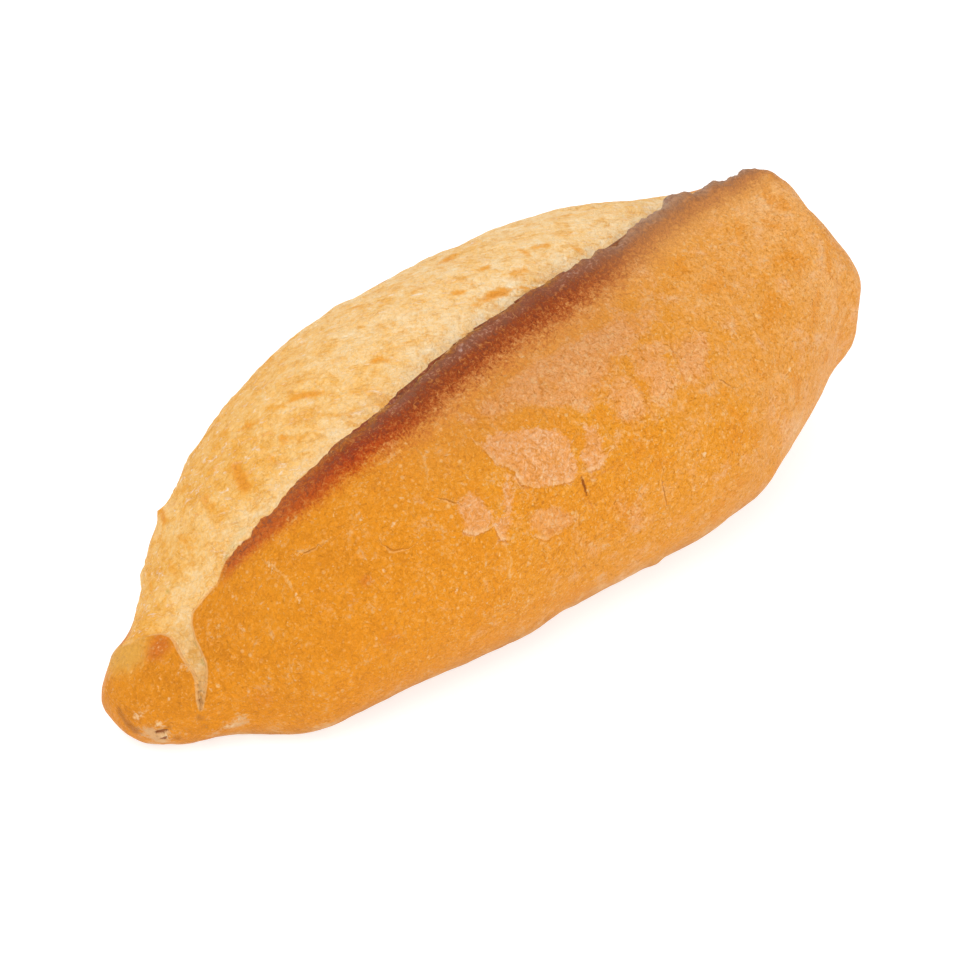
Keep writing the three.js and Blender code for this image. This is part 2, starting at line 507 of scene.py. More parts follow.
# %% [markdown]
# ## Marks of the oven
# The photo shows where skin flaked off, where the crust cracked as it cooled, and where the crumb
# caught the heat. Each mark is outlined here once, and both relief and colour follow it.

# %% Marks in the crust, as outlines and lines in the photo's pixels
FLAKED = [
    [(477, 445), (490, 440), (501, 433), (517, 430), (533, 428), (550, 430), (566, 432),
     (573, 440), (571, 453), (576, 463), (577, 473), (573, 481), (562, 486), (548, 487),
     (536, 489), (527, 488), (521, 479), (516, 472), (505, 466), (495, 462), (486, 452)],
    [(456, 503), (462, 495), (470, 489), (479, 490), (484, 500), (490, 510), (492, 520),
     (487, 529), (476, 532), (464, 533), (461, 522)],
    [(496, 521), (503, 518), (511, 520), (509, 532), (507, 541), (500, 539), (495, 530)],
    [(500, 485), (510, 482), (514, 492), (512, 505), (514, 515), (508, 517), (503, 505)],
    [(584, 426), (594, 424), (600, 432), (604, 446), (607, 458), (602, 466), (590, 470),
     (581, 462), (580, 446)],
]
THIN_FLAKE = [(526, 518), (535, 510), (552, 506), (568, 511), (579, 519), (568, 528), (556, 534),
              (549, 541), (541, 537), (529, 527)]
# Skin worn thin, but still there.
WORN = [
    [(632, 350), (650, 346), (664, 344), (664, 357), (669, 368), (675, 380), (670, 394),
     (662, 404), (651, 400), (644, 387), (633, 368)],
    [(676, 342), (688, 339), (703, 336), (706, 357), (709, 376), (694, 384), (684, 375),
     (679, 360)],
    [(608, 395), (611, 382), (622, 376), (632, 383), (640, 398), (643, 412), (632, 423),
     (618, 419)],
    [(470, 420), (520, 405), (560, 405), (592, 408), (604, 384), (616, 358), (642, 338),
     (650, 315), (620, 318), (570, 345), (520, 370)],
    [(618, 505), (626, 503), (640, 515), (640, 522), (630, 524)],
]
# Lines: cracks, finer ones that only the colour shows, the lower edges of flakes, each drawn with
# its flake on the right and a shadow painted just outside it, and pale streaks.
LINES = {
    "cracked": [
        [(441, 498), (455, 503)], [(387, 547), (393, 551), (405, 548)],
        [(306, 552), (316, 547)], [(199, 688), (198, 695), (199, 703)],
        [(665, 468), (662, 482), (667, 503)], [(722, 380), (729, 386)],
        [(793, 368), (788, 374)],
    ],
    "branched": [
        [(589, 480), (600, 474), (611, 468)], [(610, 347), (630, 372), (640, 390), (652, 412)],
        [(827, 272), (841, 287)], [(586, 494), (592, 509)], [(670, 342), (675, 360), (684, 380)],
        [(703, 336), (708, 356), (712, 376)],
    ],
    "edged": [
        [(580, 475), (575, 480), (560, 485), (535, 489), (522, 485), (515, 472), (495, 462),
         (477, 445)],
        [(490, 530), (476, 534), (464, 533), (461, 522), (456, 501)],
        [(508, 541), (500, 540), (495, 530)], [(556, 535), (549, 541), (537, 538)],
        [(607, 458), (602, 467), (590, 471)],
    ],
    "streaked": [
        [(415, 442), (424, 458), (427, 475)], [(500, 483), (508, 500), (512, 518)],
        [(268, 563), (284, 576), (297, 597)], [(505, 545), (512, 560), (508, 575), (515, 590)],
        [(560, 525), (572, 519), (580, 514)], [(223, 728), (236, 721), (248, 716)],
        [(300, 553), (322, 543)], [(650, 396), (662, 402)], [(827, 290), (838, 278)],
    ],
}
# Cracks that gape, dark inside with painted shade.
GAPS = [
    [(582, 478), (585, 486), (587, 496)], [(156, 733), (163, 731), (167, 731)],
    [(161, 739), (166, 736)],
]
# Thin skin beside the knob's patch of crust, where the golden colour hardly took.
THIN_SKIN = [(148, 634), (148, 645), (145, 655), (141, 664), (134, 671), (124, 674), (113, 676),
             (100, 670), (106, 655), (118, 640), (132, 634)]
print("outlined:", len(FLAKED), "flakes,", len(WORN), "worn patches,", len(GAPS), "gaps,",
      {name: len(lines) for name, lines in LINES.items()})

# %% Spots, in the photo's pixels
# Toasted spots of the crumb: [line, half its width in pixels, how strong].
TOASTED = [
    [[(235, 468), (240, 478), (245, 488)], 6.5, 1.0], [[(282, 437), (286, 441)], 4.5, 0.9],
    [[(291, 401), (303, 395), (322, 393)], 4, 0.85], [[(239, 430), (256, 422)], 3.5, 0.7],
    [[(266, 409), (286, 405)], 3, 0.6], [[(220, 436), (231, 431)], 4, 0.6],
    [[(372, 360), (379, 358), (389, 361)], 3, 0.8], [[(440, 262), (453, 255)], 5, 0.7],
    [[(473, 307), (485, 299)], 3.5, 0.6], [[(486, 298), (505, 292)], 5, 1.0],
    [[(505, 291), (535, 288)], 3, 0.7], [[(455, 292), (463, 291)], 3.5, 0.75],
    [[(482, 269), (489, 266)], 4, 0.7], [[(513, 274), (524, 270)], 4, 0.8],
    [[(520, 249), (529, 257)], 3.5, 0.7], [[(535, 247), (546, 246)], 4, 0.8],
    [[(575, 250), (583, 253)], 4, 0.6], [[(355, 307), (360, 306)], 3.5, 0.7],
    [[(270, 357), (273, 360)], 3, 0.6], [[(234, 394), (236, 396)], 3, 0.6],
    [[(414, 292), (419, 290)], 3.5, 0.6], [[(160, 507), (165, 522)], 4, 1.0],
    [[(204, 500), (213, 506)], 6, 0.65], [[(180, 535), (192, 549)], 5, 0.6],
    [[(160, 590), (170, 594)], 4, 0.6], [[(262, 452), (276, 462)], 5, 0.5],
    [[(149, 575), (152, 592)], 3.5, 0.6], [[(176, 500), (184, 488)], 7, 0.5],
    [[(252, 440), (268, 432)], 5, 0.55], [[(212, 470), (222, 455)], 5, 0.5],
    [[(190, 520), (200, 512)], 5, 0.5], [[(168, 560), (176, 575)], 4, 0.5],
]
# Soft spots: [middle, how far, how strong]. A tone below 0 is more golden, above 0 paler. Flour
# lies in flecks, some of which are painted highlights, and as a broader dust. Only the crumb is
# greyed or olive.
SOFT_MARKS = {
    "tone": [
        [(645, 443), 32, -0.25], [(735, 438), 42, -0.28], [(570, 520), 30, -0.08],
        [(620, 500), 45, -0.15], [(480, 385), 45, -0.05], [(770, 210), 55, 0.2],
        [(820, 300), 45, 0.1], [(795, 430), 32, 0.3], [(705, 290), 60, 0.05], [(540, 400), 40, 0.1],
        [(535, 500), 22, -0.08], [(560, 360), 70, 0.12],
    ],
    "blush": [
        [(366, 581), 11, 0.8], [(390, 638), 20, 0.55], [(262, 700), 22, 0.5], [(352, 600), 14, 0.4],
        [(162, 644), 17, 1.0], [(152, 655), 14, 0.7], [(199, 650), 6, 0.4],
    ],
    "singed": [
        [(121, 714), 9, 0.75], [(128, 723), 8, 0.75], [(135, 730), 9, 0.9], [(119, 708), 4, 0.6],
        [(200, 717), 6, 0.8], [(205, 726), 8, 0.6], [(190, 730), 8, 0.5], [(168, 727), 5, 0.7],
        [(177, 738), 8, 0.8], [(150, 727), 5, 0.6], [(165, 718), 9, 0.35], [(267, 686), 2, 1.0],
    ],
    "flecks_and_highlights": [
        [(297, 596), 3, 1], [(383, 569), 2.5, 1], [(455, 589), 3, 1], [(269, 565), 2.5, 1],
        [(272, 570), 2, 1], [(705, 455), 3, 1], [(790, 370), 3.5, 1], [(138, 716), 6, 1],
        [(300, 600), 2.5, 1], [(160, 724), 8, 0.8], [(165, 736), 7, 0.9], [(229, 725), 5, 0.7],
        [(238, 720), 5, 0.7], [(212, 729), 5, 0.6], [(176, 740), 5, 0.6], [(393, 525), 4, 0.8],
        [(361, 519), 3, 0.7], [(540, 478), 6, 0.7], [(553, 484), 5, 0.8], [(553, 515), 4, 0.8],
        [(578, 519), 4, 0.8], [(632, 517), 5, 0.6], [(385, 521), 3, 0.6],
    ],
    "floured": [
        [(152, 733), 12, 0.9], [(163, 734), 10, 0.9], [(139, 715), 7, 0.6], [(228, 724), 10, 0.6],
        [(241, 719), 10, 0.6], [(160, 741), 9, 0.9], [(215, 731), 8, 0.5],
    ],
    "greyed": [
        [(234, 545), 10, 1.0], [(243, 532), 10, 0.8], [(262, 512), 14, 0.5], [(278, 465), 10, 0.6],
        [(236, 520), 12, 0.6], [(226, 556), 6, 1.0], [(167, 590), 8, 0.5],
    ],
    # The olive spots down the knob's tear are painted shade in its trough; the others are dark
    # olive dots in the crumb.
    "olive_and_shade_spots": [
        [(226, 558), 4, 1.0], [(167, 592), 5, 0.8], [(196, 642), 7, 0.6], [(203, 662), 7, 0.8],
        [(190, 630), 5, 0.4],
    ],
}
print(len(TOASTED), "toasted spots;", {name: len(marks) for name, marks in SOFT_MARKS.items()})

# %% Marks laid on the loaf
PIXELS_PER_MM = 3.1
FAR_AWAY = 99.0  # millimetres
# A point of the outline is edge on. One that faces the camera counts as this much further off.
EDGE_ON = 60  # pixels
# How fast a soft spot fades, and a toasted line, which has half its strength at its width.
SPOT_FADE, TOAST_FADE = 2, 0.7


def drawn(outline):
    """How far each point is inside an outline, in millimetres, below 0 outside it."""
    within = inside(outline, seen_at) & (facing > 0)
    return distance_to(traced(outline + outline[:1]), spots) * np.where(within, 1, -1)


def sided(lines):
    """How far each point is from the nearest of some lines, below 0 on one side of it."""
    nearest = np.full(len(spots), FAR_AWAY)
    for line in lines:
        track = traced(line)
        for start, stop in zip(track[:-1], track[1:]):
            gap = distance_to([start, stop], spots)
            sideways = ((spots - start) * np.cross(stop - start, normals)).sum(axis=1)
            nearest = np.where(gap < np.abs(nearest), gap * np.sign(sideways), nearest)
    return nearest


def on_outline(pixel):
    """The place on the loaf's outline, where it is seen edge on, nearest to a pixel."""
    off = np.linalg.norm(seen_at - pixel, axis=1) + EDGE_ON * np.abs(facing)
    return spots[off.argmin()]


def soft_spots(marks, placed=on_loaf):
    """What soft round marks add up to: each is [its middle pixel, its reach, its strength]."""
    total = np.zeros(len(spots))
    for middle, reach, strength in marks:
        gap = np.linalg.norm(spots - placed(middle), axis=1) * PIXELS_PER_MM / reach
        total += strength * np.exp(-SPOT_FADE * gap ** 2)
    return total


flaked = np.max([drawn(outline) for outline in FLAKED], axis=0)
worn = np.max([drawn(outline) for outline in WORN], axis=0)
gaping = np.min([distance_to(traced(line), spots) for line in GAPS], axis=0)
toasted = np.zeros(len(spots))
for line, width, strength in TOASTED:
    gap = distance_to(traced(line), spots) * PIXELS_PER_MM / width
    toasted = np.maximum(toasted, strength * np.exp(-gap ** 2 * TOAST_FADE))
print("points flaked:", (flaked > 0).sum(), "worn:", (worn > 0).sum(), "toasted:",
      (toasted > TOAST_FADE).sum())

# %% [markdown]
# ## What each point of the loaf knows
# Distances and marks are kept on the net as named numbers. They stay with the loaf wherever it
# goes, so the material can read them in any program and from any side.

# %% Numbers kept on the loaf's points
# How far down the flank the heat reached from the ear's lip: [along, reach], in millimetres.
HEAT_REACH = np.array([
    [-104, 3], [-94, 7], [-75, 12], [-55, 15], [-35, 17.5], [-10, 19], [20, 19.5], [50, 18.5],
    [70, 18], [90, 17], [105, 15], [120, 12], [128, 8],
])
# How ragged the ear's ridge is: [along in millimetres, share].
RAGGED = np.array([[-106, 0], [-92, 1.4], [-40, 1.2], [0, 0.8], [60, 1.2], [120, 1.3], [130, 0]])
RAGGED_REACH = 2.6
# Where crumb and golden skin run into each other softly: on the knob, and at the far edge, with
# how softly they do there and how far.
SOFT_EDGE = [[(136, 641), 16, 0.6]]
FAR_SOFTNESS, FAR_REACH = 0.45, 6
# The crust beyond the far edge is browned: how much, how far out it is most, and how far it fades.
FAR_BROWN, FAR_BROWN_MIDDLE, FAR_BROWN_REACH = 0.5, 2, 5
# Where the tear on the knob starts to deepen and is deep, towards -X, and how wide it is, in mm.
TEAR_STARTS, TEAR_DEEP, TEAR_WIDTH = 110, 115, 9

far_soft = FAR_SOFTNESS * fading(from_far, FAR_REACH)
soft_edge = np.clip(soft_spots(SOFT_EDGE) + far_soft, 0, 1)
far_browned = FAR_BROWN * fading(from_far - FAR_BROWN_MIDDLE, FAR_BROWN_REACH) * (side < 0)
deep_tear = eased(-spots[:, 0], TEAR_STARTS, TEAR_DEEP) * (side > 0)
deep_tear *= fading(from_ear + from_tear, TEAR_WIDTH)
kept = {
    "past_ear": from_ear * side,
    "scorched": -from_ear * side / np.interp(spots[:, 0], *HEAT_REACH.T),
    "crumb_depth": crumb_depth,
    "crumb_share": eased(crumb_depth, -0.5, 2.0),
    "soft_edge": soft_edge,
    "deep_tear": deep_tear,
    "ear_edge": fading(from_ear, RAGGED_REACH) * np.interp(spots[:, 0], *RAGGED.T),
    "underneath": eased(-normals[:, 2], 0.2, 0.8),
    "flaked": flaked,
    "thin_flake": drawn(THIN_FLAKE),
    "thin_skin": drawn(THIN_SKIN),
    "worn": eased(worn, -3.5, 3),
    "gaping": gaping,
    "toasted": toasted,
}
kept |= {name: sided(lines) for name, lines in LINES.items()}
kept |= {name: soft_spots(marks) for name, marks in SOFT_MARKS.items()}
kept["blush"] += far_browned
print("numbers per point:", ", ".join(kept))

# %% [markdown]
# ## Relief
# What the drawn marks do to the surface is worked out first: a flake leaves a shallow dent, a
# crack a groove, the torn skin at the knob a trough. Geometry Nodes then adds what grows by
# itself, as noise at the sizes seen on such a loaf: plump waves, dimples, wrinkles in the burst
# crumb and a ragged edge to the ear. Everything is moved along the surface's own direction.

# %% Drawn relief, in millimetres
# A shallow crease down the broad end.
CREASE = [(776, 385), (774, 410), (774, 435), (772, 462)]
# Lumps and dents: [middle pixel, reach in pixels, height in mm].
LUMPS = [
    [(674, 205), 12, 3.2], [(686, 200), 12, 2.6], [(712, 188), 7, 0.8], [(747, 177), 6, 0.5],
    [(770, 176), 6, 1.1], [(618, 241), 15, -1.8], [(545, 284), 12, -1.0], [(368, 425), 15, -1.8],
    [(341, 448), 12, -1.4], [(300, 484), 8, -0.3], [(450, 352), 10, -0.9], [(520, 300), 8, -1.0],
    [(650, 220), 8, -1.0], [(596, 251), 8, -0.8], [(262, 520), 10, 0.5],
    [(465, 338), 12, -0.5], [(352, 440), 8, -0.4], [(655, 562), 12, 1.0], [(165, 737), 9, 0.8],
    [(214, 728), 8, 0.6], [(233, 722), 9, 0.6], [(160, 512), 8, 1.0],
]
# Trims that bring the net's outline onto the loaf's, made like the lumps.
TRIMS = [
    [(176, 478), 30, -1.1], [(205, 430), 30, -0.7], [(227, 401), 20, -0.4],
    [(243, 381), 34, -1.0], [(278, 346), 24, -1.6], [(312, 320), 26, -0.9],
    [(354, 296), 24, -0.6], [(461, 243), 26, -0.6], [(556, 207), 26, -0.7],
    [(590, 201), 30, -1.0], [(630, 196), 30, -1.0], [(662, 193), 20, -1.2],
    [(690, 189), 20, -2.0], [(672, 193), 12, -0.8], [(813, 208), 26, -2.9],
    [(827, 227), 26, -1.8], [(852, 278), 34, 2.0], [(102, 669), 22, -1.2],
    [(123, 630), 24, -2.4], [(152, 531), 20, -1.0], [(168, 494), 24, -1.5],
    [(170, 745), 28, -0.8], [(759, 492), 34, 1.0], [(528, 632), 34, 0.8],
    [(144, 576), 14, 1.0],
]
# How deep or high each mark is and, for a line, how wide, in millimetres.
TEAR_DEPTH = 1.6
TEAR_LIP, TEAR_LIP_WIDTH = 0.7, 4
FLAKE_DEPTH = 0.08
CRACK_DEPTH, CRACK_WIDTH = 0.15, 0.7
GAP_DEPTH, GAP_WIDTH = 0.8, 0.8
CREASE_DEPTH, CREASE_WIDTH = 0.9, 4
FLECK_HEIGHT = 0.3

lip = eased(-crumb_depth, -0.4, 0.8) * fading(from_tear, TEAR_LIP_WIDTH) * (1 - soft_edge)
relief = TEAR_LIP * lip - TEAR_DEPTH * deep_tear
relief -= FLAKE_DEPTH * eased(flaked, -0.2, 0.8)
relief -= CRACK_DEPTH * fading(kept["cracked"], CRACK_WIDTH)
relief -= GAP_DEPTH * fading(gaping, GAP_WIDTH)
relief -= CREASE_DEPTH * fading(distance_to(traced(CREASE), spots), CREASE_WIDTH)
relief += FLECK_HEIGHT * np.clip(kept["flecks_and_highlights"], 0, 1)
relief += soft_spots(LUMPS) + soft_spots(TRIMS, on_outline)
kept["drawn_relief"] = relief
for name, values in kept.items():
    own = crust.data.attributes.new(name, "FLOAT", "POINT")
    own.data.foreach_set("value", np.asarray(values, np.float32))
print("drawn relief from", round(relief.min(), 2), "to", round(relief.max(), 2), "mm")

# %% Grown relief
MATH, VECTOR, NOISE = "ShaderNodeMath", "ShaderNodeVectorMath", "ShaderNodeTexNoise"
NOISE_MIDDLE = 0.5
# The crumb pulled apart mostly along the loaf and a little towards the ear.
PULL_TURN = math.radians(30)
PULL_STRETCH = (0.35, 1, 1)


def apart(tree, place):
    """Places turned and stretched as the crumb pulled apart, for a noise to be read at."""
    turned = add(tree, "ShaderNodeVectorRotate", {"Vector": place, "Angle": PULL_TURN},
                 rotation_type="Z_AXIS")
    return add(tree, VECTOR, {"Vector": turned, "Vector_001": PULL_STRETCH}, operation="MULTIPLY")


grown = bpy.data.node_groups.new("grown relief", "GeometryNodeTree")
grown.interface.new_socket("Mesh", in_out="INPUT", socket_type="NodeSocketGeometry")
grown.interface.new_socket("Mesh", in_out="OUTPUT", socket_type="NodeSocketGeometry")
mesh_in = add(grown, "NodeGroupInput")
where = add(grown, "GeometryNodeInputPosition")
plain = add(grown, VECTOR, {"Vector": where, "Scale": 1 / MM}, operation="SCALE")
pulled = apart(grown, plain)

# Each layer: where its noise is read, its size in mm, its detail, its height in mm, its share.
LAYERS = [
    (plain, 34, 1, 1.4, None),
    (plain, 8, 3, 0.9, None),
    (pulled, 6, 4, 2.0, "crumb_share"),
    (pulled, 2.0, 2, 0.6, "crumb_share"),
    (plain, 9, 2, 3.4, "ear_edge"),
    (plain, 4, 2, 1.8, "ear_edge"),
    (plain, 2, 2, 1.0, "ear_edge"),
]
height = add(grown, "GeometryNodeInputNamedAttribute", {"Name": "drawn_relief"})
for place, size, detail, high, share in LAYERS:
    layer = add(grown, NOISE, {"Vector": place, "Scale": 1 / size, "Detail": detail})
    layer = add(grown, MATH, {"Value": layer, "Value_001": NOISE_MIDDLE}, operation="SUBTRACT")
    part = add(grown, "GeometryNodeInputNamedAttribute", {"Name": share}) if share else 1.0
    layer = add(grown, MATH, {"Value": layer, "Value_001": part}, operation="MULTIPLY")
    height = add(grown, MATH, {"Value": layer, "Value_001": high, "Value_002": height},
                 operation="MULTIPLY_ADD")
metres = add(grown, MATH, {"Value": height, "Value_001": MM}, operation="MULTIPLY")
moved = add(grown, VECTOR, {"Vector": add(grown, "GeometryNodeInputNormal"), "Scale": metres},
            operation="SCALE")
moved = add(grown, VECTOR, {"Vector": moved, "Vector_001": where}, operation="ADD")
# Nothing sinks below the table: only the height is held at 0 or more.
LEAST = (-9, -9, 0)
on_table = add(grown, VECTOR, {"Vector": moved, "Vector_001": LEAST}, operation="MAXIMUM")
raised = add(grown, "GeometryNodeSetPosition", {"Geometry": mesh_in, "Position": on_table})
add(grown, "NodeGroupOutput", {"Mesh": raised})
growth = crust.modifiers.new("relief", "NODES")
growth.node_group = grown
apply_modifier(crust, growth)
print("highest point", round(places_of(crust)[:, 2].max(), 1), "mm")

# %% [markdown]
# ## The crust
# White bread dough browned in the oven. Sugars at its skin turn golden, the thin ear burns to
# red-brown, and crumb that burst out late stays cream. All of it is one skin with one material:
# the kept numbers say where each finish lies, and noise breaks up their edges.
#
# The material is worked out in three steps. First come its sources: the kept numbers, the place
# along the loaf, and noise at sizes measured on the crust. Then a recipe turns sources into
# named numbers between 0 and 1. Last, coats of colour are laid over one another, each as thick
# as its number says.

# %% The material and its sources
RANGE, MIX, CELLS = "ShaderNodeMapRange", "ShaderNodeMix", "ShaderNodeTexVoronoi"

baked = bpy.data.materials.new("baked_wheat_crust")
baked.use_nodes = True
tree = baked.node_tree
skin = tree.nodes["Principled BSDF"]
told = {
    name: add(tree, "ShaderNodeAttribute", attribute_name=name).outputs["Fac"] for name in kept
}
place = add(tree, VECTOR, {
    "Vector": add(tree, "ShaderNodeTexCoord").outputs["Object"], "Scale": 1 / MM,
}, operation="SCALE")
told["along"] = add(tree, "ShaderNodeSeparateXYZ", {"Vector": place}).outputs["X"]
pulled = apart(tree, place)

# A noise mostly stays between these two, which become -1 and 1.
NOISE_LOW, NOISE_HIGH = 0.25, 0.75
# Each noise: where it is read, its size in mm, its detail, its roughness and how wavy it is.
NOISES = {
    "waves": (place, 22, 3, 0.5, 0),
    "patchy": (place, 10, 5, 0.55, 0.6),
    "mottle": (place, 5, 5, 0.6, 0.4),
    "grain": (place, 1.3, 3, 0.65, 0.8),
    "fine": (place, 0.6, 2, 0.6, 0),
    "worms": (place, 2.6, 2, 0.5, 1.6),
    "fibres": (pulled, 1.6, 4, 0.65, 0.6),
    "wrinkles": (pulled, 3.4, 3, 0.6, 1.2),
    "strands": (pulled, 4.5, 5, 0.6, 1.0),
}
# How far apart blisters lie, in mm.
BLISTERS = {"blister": 1.15, "big_blister": 2.4}
for name, (read_at, size, detail, roughness, waviness) in NOISES.items():
    told[name] = add(tree, NOISE, {
        "Vector": read_at, "Scale": 1 / size, "Detail": detail, "Roughness": roughness,
        "Distortion": waviness,
    })
    told[name] = add(tree, RANGE, {
        "Value": told[name], "From Min": NOISE_LOW, "From Max": NOISE_HIGH,
        "To Min": -1.0, "To Max": 1.0,
    }, clamp=False)
for name, size in BLISTERS.items():
    cells = add(tree, CELLS, {"Vector": place, "Scale": 1 / size})
    told[name] = cells.outputs["Distance"]
    told[name + "_kind"] = cells.outputs["Color"]
print("sources:", ", ".join(told))


# %% How a recipe is followed
def follow(recipe):
    """Works out named numbers. A list is a sum: its start, then [what, times how much]. A tuple
    is a soft step: what it goes by, where it starts and ends, and how high it gets. Any of
    these can be a number or another name."""
    for name, steps in recipe.items():
        if isinstance(steps, list):
            total, *parts = steps
            for part, times in parts:
                total = add(tree, MATH, {
                    "Value": told[part], "Value_001": told.get(times, times), "Value_002": total,
                }, operation="MULTIPLY_ADD")
            told[name] = total
        else:
            source, low, high, most = steps
            told[name] = add(tree, RANGE, {
                "Value": told[source], "From Min": told.get(low, low),
                "From Max": told.get(high, high), "To Max": told.get(most, most),
            }, interpolation_type="SMOOTHSTEP")
    print("worked out:", ", ".join(recipe))


# %% Golden skin
follow({
    "to_end": ("along", -120.0, 130.0, 1.0),
    "grit": ("along", -90.0, 0.0, 1.0),
    "grain_share": [0.07, ("grit", 0.07)],
    "golden": [0.17, ("to_end", 0.44), ("tone", 1.0), ("waves", 0.07), ("mottle", 0.1),
               ("grain", "grain_share"), ("fine", 0.05)],
    "speckled": [0.26, ("grit", 0.4)],
    "light_speck": ("grain", 0.15, 1.0, "speckled"),
    "dark_speck": ("grain", -0.15, -1.0, "speckled"),
    # Fine lighter and darker specks of the same hue are painted highlight and shade, in place of
    # the shading of the crust's tiny pimples.
    "fine_speckled": [0.14, ("grit", 0.22)],
    "fine_painted_highlight": ("fine", 0.2, 1.0, "fine_speckled"),
    "fine_painted_shade": ("fine", -0.2, -1.0, "fine_speckled"),
    "blushed": [0.0, ("blush", 0.8), ("grain", 0.25), ("mottle", 0.15)],
    "blushing": ("blushed", 0.15, 0.9, 0.8),
    "wear": [-0.42, ("worn", 0.72), ("patchy", 0.4), ("mottle", 0.3), ("grit", 0.25),
             ("grain", 0.12)],
    "wearing": ("wear", -0.2, 0.5, 0.65),
    "haze_end": ("along", 70.0, 20.0, 0.38),
    "haze_most": ("along", -80.0, -10.0, "haze_end"),
    "haze": ("scorched", 2.3, 0.9, "haze_most"),
    "deepening": ("patchy", -0.1, -0.6, "speckled"),
    "worm_most": [0.2, ("grit", 0.25)],
    "worm_share": ("mottle", 0.0, 0.8, "worm_most"),
    "worm_line": [0.0, ("worms", "worms")],
    "worming": ("worm_line", 0.02, 0.0, "worm_share"),
    "blister_most": [0.3, ("grit", 0.25)],
    "blister_share": ("blister_kind", 0.5, 0.9, "blister_most"),
    "blistering": ("blister", 0.4, 0.12, "blister_share"),
    "big_blister_share": ("big_blister_kind", 0.65, 0.95, 0.5),
    "big_blistering": ("big_blister", 0.34, 0.12, "big_blister_share"),
    # Pale flecks, partly flour and partly painted highlights.
    "flecked": [0.0, ("flecks_and_highlights", 0.9), ("grain", 0.4), ("worms", 0.3)],
    "flecking_and_highlights": ("flecked", 0.25, 0.9, 0.75),
    "streak": [0.0, ("streaked", 1.0), ("grain", 0.45), ("mottle", 0.5)],
    "streak_line": [0.0, ("streak", "streak")],
    "streak_share": ("mottle", -0.4, 0.6, 0.5),
    "streaking": ("streak_line", 0.3, 0.02, "streak_share"),
    "singe": [0.0, ("singed", 0.9), ("grain", 0.3), ("mottle", 0.2)],
    "singeing": ("singe", 0.15, 0.9, 0.7),
    "thin_spot": [0.0, ("thin_skin", 1.0), ("mottle", 1.4), ("grain", 0.7)],
    "paling": ("thin_spot", -2.8, 4.2, 0.72),
    "dusted": [0.0, ("floured", 0.9), ("mottle", 0.3), ("grain", 0.3), ("worms", 0.2)],
    "dusting": ("dusted", 0.1, 0.8, 0.85),
})

# %% Flakes and cracks
follow({
    "flake": [0.0, ("flaked", 1.0), ("mottle", 1.3), ("grain", 0.8), ("patchy", 0.9)],
    "flake_share": [0.62, ("mottle", 0.25), ("grain", 0.2)],
    "flaking": ("flake", -0.7, 1.1, "flake_share"),
    "thin": [0.0, ("thin_flake", 1.0), ("mottle", 1.2), ("grain", 0.6)],
    "thinning": ("thin", -0.6, 1.2, 0.45),
    "edge": [0.0, ("edged", 1.0), ("grain", 0.3), ("mottle", 0.5)],
    "edge_share": ("patchy", -0.6, 0.5, 0.5),
    "light_in": ("edge", -0.05, 0.25, "edge_share"),
    "edge_light": ("edge", 1.5, 0.5, "light_in"),
    # A thin painted shadow just outside each flake's lower edge. A pale rim runs just inside it.
    "painted_shadow_in": ("edge", -0.6, -0.25, "edge_share"),
    "edge_painted_shadow": ("edge", 0.12, -0.12, "painted_shadow_in"),
    "crack": [0.0, ("cracked", 1.0), ("grain", 0.15), ("mottle", 0.2)],
    "crack_line": [0.0, ("crack", "crack")],
    "crack_share": ("mottle", -0.8, 0.2, 0.6),
    "cracking": ("crack_line", 0.1, 0.0, "crack_share"),
    "crack_light": ("crack", 0.9, 0.35, 0.3),
    "crack_lip": ("crack", 0.1, 0.35, "crack_light"),
    "branch": [0.0, ("branched", 1.0), ("grain", 0.2), ("mottle", 0.4)],
    "branch_line": [0.0, ("branch", "branch")],
    "branch_share": ("mottle", -0.6, 0.4, 0.5),
    "branching": ("branch_line", 0.2, 0.0, "branch_share"),
    # Inside a gaping crack the dark brown is painted shade.
    "gap": [0.0, ("gaping", 1.0), ("grain", 0.2)],
    "gap_painted_shade": ("gap", 0.75, 0.2, 0.9),
})

# %% The scorched ear
follow({
    "speck_most": ("along", -70.0, 0.0, 0.1),
    "speck_all": [0.08, ("speck_most", 1.0)],
    "scorch_speck": ("scorched", 0.1, 0.6, "speck_all"),
    "scorch_haze": ("scorched", 0.05, 0.5, 0.1),
    "scorch": [0.0, ("scorched", 1.0), ("mottle", 0.1), ("grain", "scorch_speck"),
               ("fine", "scorch_haze")],
    "heat_start": ("along", -104.0, -97.0, 1.0),
    "heat_end": ("along", 130.0, 112.0, "heat_start"),
    "heating": ("scorch", 1.05, 0.5, "heat_end"),
    "to_dark": ("along", -62.0, -28.0, 1.0),
    "to_pale": ("along", 22.0, 78.0, 0.95),
    "left_end": ("along", -58.0, -92.0, 0.75),
    "ear_light": ("grain", 0.05, 0.75, 0.5),
    "ear_dark_most": ("scorched", 0.85, 0.35, 0.55),
    "ear_dark": ("grain", 0.0, -0.8, "ear_dark_most"),
    "edge_dark_most": ("scorched", 0.55, 0.12, 0.6),
    "edge_dark": ("grain", 0.25, -0.7, "edge_dark_most"),
    "ear_fine": ("fine", 0.2, 1.0, 0.3),
    # A greyish painted highlight along the ear's ridge, from the middle of the ear to its broad
    # end: a soft band and specks.
    "ridge_highlight_most": ("patchy", -0.5, 0.5, "to_dark"),
    "ridge_highlight_start": ("scorched", 0.05, 0.16, "ridge_highlight_most"),
    "ridge_highlight_fade": ("scorched", 0.34, 0.18, "ridge_highlight_start"),
    "ridge_highlight_band": ("mottle", -0.9, 0.5, "ridge_highlight_fade"),
    "ridge_highlight_half": [0.0, ("ridge_highlight_band", 0.38)],
    "ridge_highlight_speck": ("grain", 0.0, 0.8, "ridge_highlight_band"),
})

